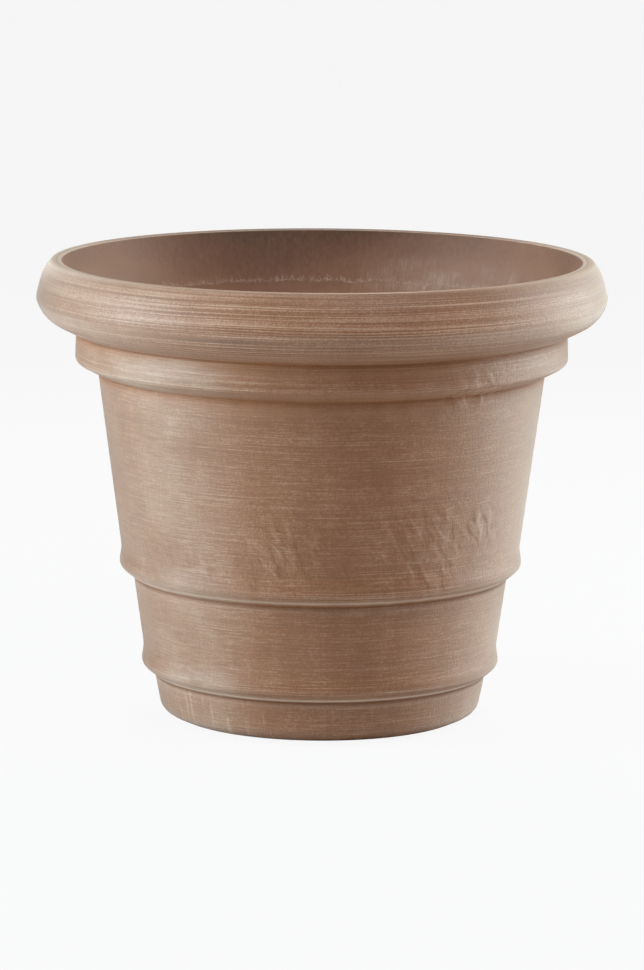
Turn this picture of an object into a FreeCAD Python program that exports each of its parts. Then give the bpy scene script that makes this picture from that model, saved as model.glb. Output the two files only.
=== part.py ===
import FreeCAD, Part
import math
import os
import re
import Sketcher

# Outdoor plant pot in millimetres and degrees. +Z is the pot's axis, and z = 0 is the ground under its pads.
# The pot is one moulding. A rubber plug closes its drain hole, and four rubber pads carry its foot.

SIZES = {
    # Rolled rim, from the lip outwards and down
    "rim_diameter": 400,
    "total_height": 325,
    "rim_width": 17.5,
    "lip_width": 4.4,
    "lip_step": 0.6,
    "lip_round": 1.2,
    "shoulder_land": 2.6,
    "shoulder_round": 3.8,
    "shoulder_drop": 8.9,
    "shoulder_lean": 14.3,
    "crown_round": 27,
    "nose_drop": 26,
    "nose_land": 0.6,
    "nose_round": 9.3,
    "under_lean": 21,
    "under_round": 24.6,
    "under_land": 0.8,
    "rim_overhang": 27.6,
    "cornice_angle": 26.7,
    # Collar under the rim
    "collar_height": 19.8,
    "collar_flare": 0.5,
    "collar_round": 4,
    "collar_step": 15.9,
    # Wall, its two beads and the foot, with heights from the ground
    "wall": 7,
    "tier_taper": 8.1,
    "upper_bead_height": 109.4,
    "upper_bead_step": 10.4,
    "lower_bead_height": 39,
    "lower_bead_step": 9.5,
    "bead_angle": 38.5,
    "bead_round": 5.5,
    "bead_flare": 1.9,
    "bead_flare_height": 11.6,
    "waist_round": 24,
    "foot_diameter": 224.2,
    "foot_taper": 11.2,
    "foot_round": 8.9,
    "foot_bevel_width": 10.4,
    "foot_bevel_height": 4.6,
    # Inside of the wall, and the floor
    "mouth_taper": 12.5,
    "mouth_depth": 40,
    "mouth_round": 40,
    "inner_round": 25,
    "step_round": 9,
    "floor_thickness": 14,
    "floor_fall": 1.5,
    "floor_round": 9,
    # Underside and drain
    "base_ring_width": 40,
    "recess_depth": 4,
    "recess_draft": 2,
    "recess_round": 1.5,
    "sump_diameter": 46,
    "sump_depth": 3,
    "drain_diameter": 24,
    # Foot pads
    "pad_diameter": 20,
    "pad_standoff": 2,
    "pad_round": 0.8,
    "socket_depth": 1,
    "socket_clearance": 0.3,
    # Drain plug
    "flange_clearance": 2,
    "flange_round": 0.8,
    "shank_clearance": 0.3,
    "shank_proud": 2,
    "shank_bevel": 1.2,
    "tab_width": 22,
    "tab_height": 16,
    "tab_thickness": 5,
    "tab_corner": 7,
    "tab_round": 1,
}
# Where the pads stand round the axis
PAD_ANGLES = {"foot_pad_right": 0, "foot_pad_back": 90, "foot_pad_left": 180, "foot_pad_front": 270}

# Places that several outlines share, as formulas in the sizes
RIM_RADIUS = "rim_diameter / 2"
MOUTH_RADIUS = f"({RIM_RADIUS} - rim_width)"
LIP_RADIUS = f"({MOUTH_RADIUS} + lip_width)"
SHOULDER_HEIGHT = "(total_height - lip_step)"
CROWN_HEIGHT = "(total_height - shoulder_drop)"
NOSE_TOP = "(total_height - nose_drop + nose_land / 2 + nose_round * tan(shoulder_lean / 2))"
NOSE_BOTTOM = "(total_height - nose_drop - nose_land / 2 - nose_round * tan(under_lean / 2))"
UNDER_TURN = "(90 - cornice_angle - under_lean)"
UNDER_RUN = f"(nose_round * tan(under_lean / 2) + under_land + under_round * tan({UNDER_TURN} / 2))"
UNDER_RADIUS = f"({RIM_RADIUS} - {UNDER_RUN} * sin(under_lean))"
UNDER_HEIGHT = f"({NOSE_BOTTOM} - {UNDER_RUN} * cos(under_lean))"
COLLAR_TOP_RADIUS = f"({RIM_RADIUS} - rim_overhang)"
COLLAR_TOP = f"({UNDER_HEIGHT} - ({UNDER_RADIUS} - {COLLAR_TOP_RADIUS}) * tan(cornice_angle))"
COLLAR_RADIUS = f"({COLLAR_TOP_RADIUS} + collar_flare)"
COLLAR_BOTTOM = f"({COLLAR_TOP} - collar_height)"
WALL_TOP_RADIUS = f"({COLLAR_RADIUS} - collar_step)"
WALL_TOP = f"({COLLAR_BOTTOM} - collar_step * tan(cornice_angle))"
FOOT_RADIUS = "foot_diameter / 2"
FOOT_EDGE = "(pad_standoff + foot_bevel_height)"
FOOT_TOP = "(lower_bead_height - lower_bead_step * tan(bead_angle))"
FOOT_TOP_RADIUS = f"({FOOT_RADIUS} + ({FOOT_TOP} - {FOOT_EDGE}) * tan(foot_taper))"
LOWER_BEAD_RADIUS = f"({FOOT_TOP_RADIUS} + lower_bead_step)"
LOWER_WAIST_RADIUS = f"({LOWER_BEAD_RADIUS} - bead_flare)"
LOWER_WAIST = "(lower_bead_height + bead_flare_height)"
TIER_TOP = "(upper_bead_height - upper_bead_step * tan(bead_angle))"
TIER_TOP_RADIUS = f"({LOWER_WAIST_RADIUS} + ({TIER_TOP} - {LOWER_WAIST}) * tan(tier_taper))"
UPPER_BEAD_RADIUS = f"({TIER_TOP_RADIUS} + upper_bead_step)"
UPPER_WAIST_RADIUS = f"({UPPER_BEAD_RADIUS} - bead_flare)"
UPPER_WAIST = "(upper_bead_height + bead_flare_height)"
FLOOR_TOP = "(pad_standoff + floor_thickness)"
FLOOR_RADIUS = f"({FOOT_RADIUS} + ({FLOOR_TOP} - {FOOT_EDGE}) * tan(foot_taper) - wall)"
SUMP_EDGE = f"({FLOOR_TOP} - floor_fall)"
SUMP_FLOOR = f"({SUMP_EDGE} - sump_depth)"
RECESS_ROOF = "(pad_standoff + recess_depth)"
REST_RADIUS = f"({FOOT_RADIUS} - foot_bevel_width)"
RECESS_RADIUS = f"({REST_RADIUS} - base_ring_width)"
PAD_CIRCLE_RADIUS = f"({REST_RADIUS} - base_ring_width / 2)"
PAD_TOP = "(pad_standoff + socket_depth)"
SOCKET_RADIUS = "(pad_diameter / 2 + socket_clearance)"
SHANK_RADIUS = "(drain_diameter / 2 - shank_clearance)"
SHANK_END = f"({RECESS_ROOF} - shank_proud)"
FLANGE_RADIUS = "(sump_diameter / 2 - flange_clearance)"
TAB_FOOT = f"({SUMP_EDGE} - sump_depth / 2)"
TAB_TOP = f"({SUMP_EDGE} + tab_height)"

UPRIGHT = FreeCAD.Vector(0, 0, 1)
SAME_PLACE = 1e-6

doc = FreeCAD.newDocument("plant_pot")
sheet = doc.addObject("Spreadsheet::Sheet", "sizes")
for row, (alias, number) in enumerate(SIZES.items(), start=1):
    sheet.set(f"A{row}", alias)
    sheet.set(f"B{row}", str(number))
    sheet.setAlias(f"B{row}", alias)
doc.recompute()


def in_sheet(formula):
    """The formula with each size looked up in the sheet."""
    return re.sub(r"[a-z_]+", lambda word: f"sizes.{word[0]}" if word[0] in SIZES else word[0], formula)


def measure(formula):
    """The number that a formula comes to now."""
    result = sheet.evalExpression(in_sheet(formula))
    return float(getattr(result, "Value", result))


def bind(thing, setting, formula):
    """Makes a setting of a document object follow a formula."""
    thing.setExpression(setting, in_sheet(formula))


def origin_feature(body, role):
    """One of the body's own origin planes or axes."""
    return next(feature for feature in body.Origin.OriginFeatures if feature.Role == role)


def new_body(label):
    body = doc.addObject("PartDesign::Body", label)
    body.Label = label
    return body


def new_sketch(body, name, plane):
    sketch = body.newObject("Sketcher::SketchObject", name)
    sketch.AttachmentSupport = [(origin_feature(body, plane), "")]
    sketch.MapMode = "FlatFace"
    return sketch


def hold(sketch, formula, kind, *places):
    """Adds a constraint whose size follows a formula."""
    index = sketch.addConstraint(Sketcher.Constraint(kind, *places, measure(formula)))
    bind(sketch, f"Constraints[{index}]", formula)


def hold_point(sketch, shape, end, across, up):
    """Ties a point to its formulas. With none for a direction, it lies on the sketch's axis there."""
    if across is None:
        sketch.addConstraint(Sketcher.Constraint("PointOnObject", shape, end, -2))
    else:
        hold(sketch, across, "DistanceX", -1, 1, shape, end)
    if up is None:
        sketch.addConstraint(Sketcher.Constraint("PointOnObject", shape, end, -1))
    else:
        hold(sketch, up, "DistanceY", -1, 1, shape, end)


def rounded_corner(before, corner, after, radius):
    """The arc that rounds a corner, where it is entered and left, and whether it turns to the left."""
    back = (before - corner).normalize()
    onward = (after - corner).normalize()
    half = back.getAngle(onward) / 2
    centre = corner + (back + onward).normalize() * (radius / math.sin(half))
    entry = corner + back * (radius / math.tan(half))
    leave = corner + onward * (radius / math.tan(half))
    turns_left = back.cross(onward).z < 0
    first, last = (entry, leave) if turns_left else (leave, entry)
    circle = Part.Circle(centre, UPRIGHT, radius)
    return Part.ArcOfCircle(circle, circle.parameter(first), circle.parameter(last)), entry, leave, turns_left


def draw_outline(sketch, corners):
    """Draws a closed outline of straight runs, given as corners (across, up, rounding) in formulas.

    A rounded corner keeps its sharp point, which lies on both runs, and its arc is tangent to them.
    """
    count = len(corners)
    points = [FreeCAD.Vector(measure(across or "0"), measure(up or "0"), 0) for across, up, _ in corners]
    entries = list(points)
    leaves = list(points)
    arcs = {}
    for k, (across, up, rounding) in enumerate(corners):
        if rounding:
            neighbours = points[k - 1], points[k], points[(k + 1) % count]
            arc, entries[k], leaves[k], turns_left = rounded_corner(*neighbours, measure(rounding))
            arcs[k] = arc, turns_left
    runs = [sketch.addGeometry(Part.LineSegment(leaves[k - 1], entries[k])) for k in range(count)]
    for k, (across, up, rounding) in enumerate(corners):
        before = runs[k]
        after = runs[(k + 1) % count]
        if not rounding:
            sketch.addConstraint(Sketcher.Constraint("Coincident", before, 2, after, 1))
            hold_point(sketch, after, 1, across, up)
            continue
        arc, turns_left = arcs[k]
        curve = sketch.addGeometry(arc)
        corner = sketch.addGeometry(Part.Point(points[k]), True)
        sketch.addConstraint(Sketcher.Constraint("Tangent", before, 2, curve, 1 if turns_left else 2))
        sketch.addConstraint(Sketcher.Constraint("Tangent", after, 1, curve, 2 if turns_left else 1))
        sketch.addConstraint(Sketcher.Constraint("PointOnObject", corner, 1, before))
        sketch.addConstraint(Sketcher.Constraint("PointOnObject", corner, 1, after))
        hold_point(sketch, corner, 1, across, up)
        hold(sketch, rounding, "Radius", curve)


def turn(body, name, corners):
    """Turns an outline once about the body's own axis."""
    sketch = new_sketch(body, f"{name}_outline", "XZ_Plane")
    draw_outline(sketch, corners)
    revolution = body.newObject("PartDesign::Revolution", name)
    revolution.Profile = sketch
    revolution.ReferenceAxis = (sketch, ["V_Axis"])
    revolution.Angle = 360
    doc.recompute()


def make_pot_body():
    """The moulded shell: its outside from the foot up to the lip, then its inside down to the drain."""
    pot = new_body("pot_body")
    outside = [
        (REST_RADIUS, "pad_standoff", None),
        (FOOT_RADIUS, FOOT_EDGE, "foot_round"),
        (FOOT_TOP_RADIUS, FOOT_TOP, None),
        (LOWER_BEAD_RADIUS, "lower_bead_height", "bead_round"),
        (LOWER_WAIST_RADIUS, LOWER_WAIST, "waist_round"),
        (TIER_TOP_RADIUS, TIER_TOP, None),
        (UPPER_BEAD_RADIUS, "upper_bead_height", "bead_round"),
        (UPPER_WAIST_RADIUS, UPPER_WAIST, "waist_round"),
        (WALL_TOP_RADIUS, WALL_TOP, None),
        (COLLAR_RADIUS, COLLAR_BOTTOM, "collar_round"),
        (COLLAR_TOP_RADIUS, COLLAR_TOP, None),
        (UNDER_RADIUS, UNDER_HEIGHT, "under_round"),
        (RIM_RADIUS, NOSE_BOTTOM, "nose_round"),
        (RIM_RADIUS, NOSE_TOP, "nose_round"),
        (f"{RIM_RADIUS} - ({CROWN_HEIGHT} - {NOSE_TOP}) * tan(shoulder_lean)", CROWN_HEIGHT, "crown_round"),
        (f"{LIP_RADIUS} + shoulder_land", SHOULDER_HEIGHT, "shoulder_round"),
        (LIP_RADIUS, SHOULDER_HEIGHT, None),
        (LIP_RADIUS, "total_height", None),
    ]
    inside = [
        (MOUTH_RADIUS, "total_height", "lip_round"),
        (f"{MOUTH_RADIUS} - mouth_taper", "total_height - mouth_depth", "mouth_round"),
        (f"{WALL_TOP_RADIUS} - wall", f"{WALL_TOP} + wall / 2", "inner_round"),
        (f"{UPPER_WAIST_RADIUS} - wall", "upper_bead_height", "step_round"),
        (f"{TIER_TOP_RADIUS} - wall", TIER_TOP, "step_round"),
        (f"{LOWER_WAIST_RADIUS} - wall", "lower_bead_height", "step_round"),
        (f"{FOOT_TOP_RADIUS} - wall", FOOT_TOP, "step_round"),
        (FLOOR_RADIUS, FLOOR_TOP, "floor_round"),
        ("sump_diameter / 2", SUMP_EDGE, None),
        ("sump_diameter / 2", SUMP_FLOOR, None),
        ("drain_diameter / 2", SUMP_FLOOR, None),
        ("drain_diameter / 2", RECESS_ROOF, None),
        (f"{RECESS_RADIUS} - recess_draft", RECESS_ROOF, "recess_round"),
        (RECESS_RADIUS, "pad_standoff", None),
    ]
    turn(pot, "pot_shell", outside + inside)

    mark = new_sketch(pot, "pad_socket_mark", "XY_Plane")
    bind(mark, "AttachmentOffset.Base.z", "pad_standoff")
    centre = FreeCAD.Vector(measure(PAD_CIRCLE_RADIUS), 0, 0)
    circle = mark.addGeometry(Part.Circle(centre, UPRIGHT, measure(SOCKET_RADIUS)))
    mark.addConstraint(Sketcher.Constraint("PointOnObject", circle, 3, -1))
    hold(mark, PAD_CIRCLE_RADIUS, "DistanceX", -1, 1, circle, 3)
    hold(mark, SOCKET_RADIUS, "Radius", circle)
    socket = pot.newObject("PartDesign::Pocket", "pad_socket")
    socket.Profile = mark
    socket.Reversed = True
    bind(socket, "Length", "socket_depth")
    ring = pot.newObject("PartDesign::PolarPattern", "pad_sockets")
    ring.Originals = [socket]
    ring.Axis = (origin_feature(pot, "Z_Axis"), [""])
    ring.Angle = 360
    ring.Occurrences = len(PAD_ANGLES)
    pot.Tip = ring
    return pot


def make_foot_pad(label, angle):
    """A rubber disc whose upper end sits in its socket and whose rounded lower edge meets the ground."""
    pad = new_body(label)
    turn(pad, f"{label}_disc", [
        (None, None, None),
        ("pad_diameter / 2", None, "pad_round"),
        ("pad_diameter / 2", PAD_TOP, None),
        (None, PAD_TOP, None),
    ])
    bind(pad, "Placement.Base.x", f"{PAD_CIRCLE_RADIUS} * cos({angle})")
    bind(pad, "Placement.Base.y", f"{PAD_CIRCLE_RADIUS} * sin({angle})")
    return pad


def make_drain_plug():
    """A rubber stopper: its flange lies in the sump, its shank fills the drain hole, and a tab lifts it."""
    plug = new_body("drain_plug")
    turn(plug, "stopper", [
        (None, SHANK_END, None),
        (f"{SHANK_RADIUS} - shank_bevel", SHANK_END, None),
        (SHANK_RADIUS, f"{SHANK_END} + shank_bevel", None),
        (SHANK_RADIUS, SUMP_FLOOR, None),
        (FLANGE_RADIUS, SUMP_FLOOR, None),
        (FLANGE_RADIUS, SUMP_EDGE, "flange_round"),
        (None, SUMP_EDGE, None),
    ])
    face = new_sketch(plug, "pull_tab_face", "YZ_Plane")
    draw_outline(face, [
        ("0 - tab_width / 2", TAB_FOOT, None),
        ("tab_width / 2", TAB_FOOT, None),
        ("tab_width / 2", TAB_TOP, "tab_corner"),
        ("0 - tab_width / 2", TAB_TOP, "tab_corner"),
    ])
    tab = plug.newObject("PartDesign::Pad", "pull_tab")
    tab.Profile = face
    tab.Midplane = True
    bind(tab, "Length", "tab_thickness")
    doc.recompute()
    side = measure("tab_thickness / 2")
    flange_top = measure(SUMP_EDGE)
    edges = [
        f"Edge{k}"
        for k, edge in enumerate(tab.Shape.Edges, start=1)
        if abs(abs(edge.CenterOfMass.x) - side) < SAME_PLACE and edge.CenterOfMass.z > flange_top + SAME_PLACE
    ]
    soft = plug.newObject("PartDesign::Fillet", "pull_tab_edges")
    soft.Base = (tab, edges)
    bind(soft, "Radius", "tab_round")
    return plug


pieces = [make_pot_body(), make_drain_plug()]
pieces += [make_foot_pad(label, angle) for label, angle in PAD_ANGLES.items()]
doc.recompute()

for thing in doc.Objects:
    if "Invalid" in thing.State or "Error" in thing.State:
        raise RuntimeError(f"{thing.Label} did not build: {thing.State}")
os.makedirs("parts", exist_ok=True)
for piece in pieces:
    if piece.Shape.isNull() or not piece.Shape.isValid() or len(piece.Shape.Solids) != 1:
        raise RuntimeError(f"{piece.Label} is not one sound solid")
for piece in pieces:
    piece.Shape.exportStep(f"parts/{piece.Label}.step")
    box = piece.Shape.BoundBox
    print(f"{piece.Label}: {piece.Shape.Volume / 1000:.1f} cm3, z {box.ZMin:.2f} to {box.ZMax:.2f}")
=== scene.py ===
import math
from collections import namedtuple
from types import SimpleNamespace

import bmesh
import bpy
import numpy as np
from mathutils import Matrix, Quaternion, Vector, noise


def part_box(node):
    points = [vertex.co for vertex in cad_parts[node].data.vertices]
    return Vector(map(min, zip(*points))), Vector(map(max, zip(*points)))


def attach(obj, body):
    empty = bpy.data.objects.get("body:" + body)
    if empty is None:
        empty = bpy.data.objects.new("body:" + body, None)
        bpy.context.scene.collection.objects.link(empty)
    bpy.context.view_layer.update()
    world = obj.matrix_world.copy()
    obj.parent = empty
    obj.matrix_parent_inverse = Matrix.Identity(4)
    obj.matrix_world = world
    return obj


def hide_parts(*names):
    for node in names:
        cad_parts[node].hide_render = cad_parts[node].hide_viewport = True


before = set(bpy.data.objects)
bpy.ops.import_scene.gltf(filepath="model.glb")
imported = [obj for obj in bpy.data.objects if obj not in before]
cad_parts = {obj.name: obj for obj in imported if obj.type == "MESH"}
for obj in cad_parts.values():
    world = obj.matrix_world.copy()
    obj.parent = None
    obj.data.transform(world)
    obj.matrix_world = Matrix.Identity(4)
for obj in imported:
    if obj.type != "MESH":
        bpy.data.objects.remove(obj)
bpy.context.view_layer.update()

# The outdoor plant pot: one moulding with a brushed outside, a rubber plug in its drain hole and four pads.
# Outlines and patterns are in millimetres and degrees, and everything placed in the scene is in metres.

MM = 0.001
pot_low, pot_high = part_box("pot_body")

# Overall sizes, which the frame gives
RIM_RADIUS = pot_high.x / MM
TOTAL_HEIGHT = pot_high.z / MM
STANDOFF = pot_low.z / MM

# Rolled rim, from the mouth outwards and down: a ring that falls inwards, a low crest, the crown and the nose
RIM_WIDTH = 18.2
LIP_WIDTH = 4.2
LIP_DEPTH = 0.55
LIP_FALL = 0.4
LIP_ROUND = 1.2
SHOULDER_LAND = 3.5
SHOULDER_ROUND = 3.8
SHOULDER_DROP = 8.9
SHOULDER_LEAN = 14.3
CROWN_ROUND = 27
NOSE_DROP = 26
NOSE_LAND = 0.6
NOSE_ROUND = 9.3
UNDER_LEAN = 21
UNDER_ROUND = 24.6
UNDER_LAND = 0.8
RIM_OVERHANG = 27.6
CORNICE_ANGLE = 26.7

# Collar under the rim
COLLAR_HEIGHT = 19.8
COLLAR_FLARE = 0.5
COLLAR_ROUND = 4
COLLAR_STEP = 15.9

# Wall, its two beads and the foot, with heights from the ground
WALL = 7
TIER_TAPER = 8.1
UPPER_BEAD_HEIGHT = 109.4
UPPER_BEAD_STEP = 10.4
LOWER_BEAD_HEIGHT = 39
LOWER_BEAD_STEP = 9.5
BEAD_ANGLE = 38.5
BEAD_ROUND = 5.5
BEAD_FLARE = 1.9
BEAD_FLARE_HEIGHT = 11.6
WAIST_ROUND = 24
FOOT_RADIUS = 112.1
FOOT_TAPER = 11.2
FOOT_ROUND = 8.9
FOOT_BEVEL_WIDTH = 10.4
FOOT_BEVEL_HEIGHT = 4.6
CREASE_ROUND = 0.7

# Inside of the wall, the floor and the underside
MOUTH_TAPER = 11.8
MOUTH_DEPTH = 40
MOUTH_ROUND = 40
INNER_ROUND = 25
STEP_ROUND = 9
FLOOR_THICKNESS = 14
FLOOR_FALL = 1.5
FLOOR_ROUND = 9
SUMP_RADIUS = 23
SUMP_DEPTH = 3
DRAIN_RADIUS = 12
RECESS_DEPTH = 4
RECESS_DRAFT = 2
RECESS_ROUND = 1.5
BASE_RING_WIDTH = 40
MOULD_EDGE = 0.4

# How finely the pot is turned
AROUND = 384
OUTSIDE_STEP = 2.9
INSIDE_STEP = 14
ARC_STEP = 26
ANGLES = np.arange(AROUND) * 2 * math.pi / AROUND


def sin(degrees):
    return math.sin(math.radians(degrees))


def cos(degrees):
    return math.cos(math.radians(degrees))


def tan(degrees):
    return math.tan(math.radians(degrees))


# Places of the rim and the collar, worked out from their sizes
MOUTH_RADIUS = RIM_RADIUS - RIM_WIDTH
LIP_RADIUS = MOUTH_RADIUS + LIP_WIDTH
LIP_LEVEL = TOTAL_HEIGHT - LIP_DEPTH
CROWN = TOTAL_HEIGHT - SHOULDER_DROP
NOSE = TOTAL_HEIGHT - NOSE_DROP
NOSE_TOP = NOSE + NOSE_LAND / 2 + NOSE_ROUND * tan(SHOULDER_LEAN / 2)
NOSE_FOOT = NOSE - NOSE_LAND / 2 - NOSE_ROUND * tan(UNDER_LEAN / 2)
CROWN_RADIUS = RIM_RADIUS - (CROWN - NOSE_TOP) * tan(SHOULDER_LEAN)
UNDER_TURN = 90 - CORNICE_ANGLE - UNDER_LEAN
UNDER_RUN = NOSE_ROUND * tan(UNDER_LEAN / 2) + UNDER_LAND + UNDER_ROUND * tan(UNDER_TURN / 2)
UNDER_RADIUS = RIM_RADIUS - UNDER_RUN * sin(UNDER_LEAN)
UNDER = NOSE_FOOT - UNDER_RUN * cos(UNDER_LEAN)
COLLAR_TOP_RADIUS = RIM_RADIUS - RIM_OVERHANG
COLLAR_TOP = UNDER - (UNDER_RADIUS - COLLAR_TOP_RADIUS) * tan(CORNICE_ANGLE)
COLLAR_RADIUS = COLLAR_TOP_RADIUS + COLLAR_FLARE
COLLAR_FOOT = COLLAR_TOP - COLLAR_HEIGHT

# Places of the foot, the beads and the wall
FOOT_EDGE = STANDOFF + FOOT_BEVEL_HEIGHT
FOOT_TOP = LOWER_BEAD_HEIGHT - LOWER_BEAD_STEP * tan(BEAD_ANGLE)
FOOT_TOP_RADIUS = FOOT_RADIUS + (FOOT_TOP - FOOT_EDGE) * tan(FOOT_TAPER)
LOWER_BEAD_RADIUS = FOOT_TOP_RADIUS + LOWER_BEAD_STEP
LOWER_WAIST = LOWER_BEAD_HEIGHT + BEAD_FLARE_HEIGHT
LOWER_WAIST_RADIUS = LOWER_BEAD_RADIUS - BEAD_FLARE
TIER_TOP = UPPER_BEAD_HEIGHT - UPPER_BEAD_STEP * tan(BEAD_ANGLE)
TIER_TOP_RADIUS = LOWER_WAIST_RADIUS + (TIER_TOP - LOWER_WAIST) * tan(TIER_TAPER)
UPPER_BEAD_RADIUS = TIER_TOP_RADIUS + UPPER_BEAD_STEP
UPPER_WAIST = UPPER_BEAD_HEIGHT + BEAD_FLARE_HEIGHT
UPPER_WAIST_RADIUS = UPPER_BEAD_RADIUS - BEAD_FLARE
WALL_TOP = COLLAR_FOOT - COLLAR_STEP * tan(CORNICE_ANGLE)
WALL_TOP_RADIUS = COLLAR_RADIUS - COLLAR_STEP

# Places of the floor and the underside
FLOOR = STANDOFF + FLOOR_THICKNESS
FLOOR_RADIUS = FOOT_RADIUS + (FLOOR - FOOT_EDGE) * tan(FOOT_TAPER) - WALL
SUMP_EDGE = FLOOR - FLOOR_FALL
SUMP_FLOOR = SUMP_EDGE - SUMP_DEPTH
RECESS_ROOF = STANDOFF + RECESS_DEPTH
REST_RADIUS = FOOT_RADIUS - FOOT_BEVEL_WIDTH
RECESS_RADIUS = REST_RADIUS - BASE_RING_WIDTH

# The pot's outline: up the outside from the foot to the lip, then down the inside and below
Corner = namedtuple("Corner", "radius height rounding mark", defaults=("",))
OUTSIDE, INSIDE = 0, 1
OUTSIDE_CORNERS = [
    Corner(REST_RADIUS, STANDOFF, MOULD_EDGE),
    Corner(FOOT_RADIUS, FOOT_EDGE, FOOT_ROUND),
    Corner(FOOT_TOP_RADIUS, FOOT_TOP, CREASE_ROUND, "bead crease"),
    Corner(LOWER_BEAD_RADIUS, LOWER_BEAD_HEIGHT, BEAD_ROUND),
    Corner(LOWER_WAIST_RADIUS, LOWER_WAIST, WAIST_ROUND),
    Corner(TIER_TOP_RADIUS, TIER_TOP, CREASE_ROUND, "bead crease"),
    Corner(UPPER_BEAD_RADIUS, UPPER_BEAD_HEIGHT, BEAD_ROUND),
    Corner(UPPER_WAIST_RADIUS, UPPER_WAIST, WAIST_ROUND),
    Corner(WALL_TOP_RADIUS, WALL_TOP, CREASE_ROUND, "rim crease"),
    Corner(COLLAR_RADIUS, COLLAR_FOOT, COLLAR_ROUND),
    Corner(COLLAR_TOP_RADIUS, COLLAR_TOP, CREASE_ROUND, "rim crease"),
    Corner(UNDER_RADIUS, UNDER, UNDER_ROUND),
    Corner(RIM_RADIUS, NOSE_FOOT, NOSE_ROUND),
    Corner(RIM_RADIUS, NOSE_TOP, NOSE_ROUND),
    Corner(CROWN_RADIUS, CROWN, CROWN_ROUND),
    Corner(LIP_RADIUS + SHOULDER_LAND, TOTAL_HEIGHT, SHOULDER_ROUND),
    Corner(LIP_RADIUS, LIP_LEVEL, CREASE_ROUND, "lip"),
]
INSIDE_CORNERS = [
    Corner(MOUTH_RADIUS, LIP_LEVEL - LIP_FALL, LIP_ROUND),
    Corner(MOUTH_RADIUS - MOUTH_TAPER, TOTAL_HEIGHT - MOUTH_DEPTH, MOUTH_ROUND),
    Corner(WALL_TOP_RADIUS - WALL, WALL_TOP + WALL / 2, INNER_ROUND),
    Corner(UPPER_WAIST_RADIUS - WALL, UPPER_BEAD_HEIGHT, STEP_ROUND),
    Corner(TIER_TOP_RADIUS - WALL, TIER_TOP, STEP_ROUND),
    Corner(LOWER_WAIST_RADIUS - WALL, LOWER_BEAD_HEIGHT, STEP_ROUND),
    Corner(FOOT_TOP_RADIUS - WALL, FOOT_TOP, STEP_ROUND),
    Corner(FLOOR_RADIUS, FLOOR, FLOOR_ROUND),
    Corner(SUMP_RADIUS, SUMP_EDGE, MOULD_EDGE),
    Corner(SUMP_RADIUS, SUMP_FLOOR, MOULD_EDGE),
    Corner(DRAIN_RADIUS, SUMP_FLOOR, MOULD_EDGE),
    Corner(DRAIN_RADIUS, RECESS_ROOF, MOULD_EDGE),
    Corner(RECESS_RADIUS - RECESS_DRAFT, RECESS_ROOF, RECESS_ROUND),
    Corner(RECESS_RADIUS, STANDOFF, MOULD_EDGE),
]


def unit(vector):
    return vector / np.linalg.norm(vector)


def arc_points(before, corner, after, radius, step):
    """Points along the arc that rounds a corner, from where it is entered to where it is left."""
    back = unit(before - corner)
    onward = unit(after - corner)
    half = math.acos(back @ onward) / 2
    turn = math.pi - 2 * half
    tangent = radius / math.tan(half)
    centre = corner + unit(back + onward) * radius / math.sin(half)
    start = corner + back * tangent - centre
    end = corner + onward * tangent - centre
    count = max(2, math.ceil(math.degrees(turn) / ARC_STEP), math.ceil(turn * radius / step))
    return [
        centre + (start * math.sin((1 - t) * turn) + end * math.sin(t * turn)) / math.sin(turn)
        for t in np.linspace(0, 1, count + 1)
    ]


Outline = namedtuple("Outline", "points length zones marks")


def trace(outside, inside):
    """The closed outline's points in order, the way along it to each, its zones, and where its marks lie."""
    corners = outside + inside
    corner_zones = [OUTSIDE] * len(outside) + [INSIDE] * len(inside)
    steps = [OUTSIDE_STEP if zone == OUTSIDE else INSIDE_STEP for zone in corner_zones]
    places = [np.array([corner.radius, corner.height]) for corner in corners]
    following = places[1:] + places[:1]
    arcs = [
        arc_points(places[k - 1], places[k], following[k], corner.rounding, steps[k])
        for k, corner in enumerate(corners)
    ]
    points = []
    zones = []
    middles = []
    for arc, next_arc, zone, step in zip(arcs, arcs[1:] + arcs[:1], corner_zones, steps):
        middles.append(len(points) + len(arc) // 2)
        run = next_arc[0] - arc[-1]
        count = math.ceil(np.linalg.norm(run) / step)
        stretch = arc + [arc[-1] + run * t / count for t in range(1, count)]
        points += stretch
        zones += [zone] * len(stretch)
    points = np.array(points)
    gaps = np.linalg.norm(np.roll(points, -1, axis=0) - points, axis=1)
    length = np.concatenate([[0], np.cumsum(gaps)])
    marks = {}
    for corner, middle in zip(corners, middles):
        marks.setdefault(corner.mark, []).append(length[middle])
    return Outline(points, length, np.array(zones), marks)


# Relief of the outside, moulded and then brushed by hand. It ends at the foot's edge and at the lip.
WAVE_HEIGHT = 0.07
WAVE_LENGTH = 90
WAVE_WIDTH = 6
LUMP_HEIGHT = 1.0
LUMP_WIDTH = 7.5
LUMP_LENGTH = 10
WRINKLE_SLANT = 0.45
RELIEF_FOOT = FOOT_EDGE
RELIEF_TOP = TOTAL_HEIGHT - 2 * LIP_DEPTH

# Wrinkled patches: their middles, in degrees to the right of the front and by height, and how far they spread
Patch = namedtuple("Patch", "front height spread rise")
WRINKLED_PATCHES = [
    Patch(-41, 126, 14, 14),
    Patch(-12, 138, 8, 26),
    Patch(3, 146, 6, 14),
    Patch(26, 142, 14, 34),
    Patch(49, 150, 7, 14),
    Patch(38, 250, 10, 14),
    Patch(150, 170, 30, 40),
    Patch(-120, 140, 25, 25),
]


def wrinkled(angle, height):
    """How wrinkled the outside is at an angle about the axis and a height, from 0 to 1."""
    front = math.degrees(angle) + 90
    most = 0
    for patch in WRINKLED_PATCHES:
        off = ((front - patch.front + 180) % 360 - 180) / patch.spread
        up = (height - patch.height) / patch.rise
        most = max(most, math.exp(-off ** 2 - up ** 2))
    return most


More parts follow.
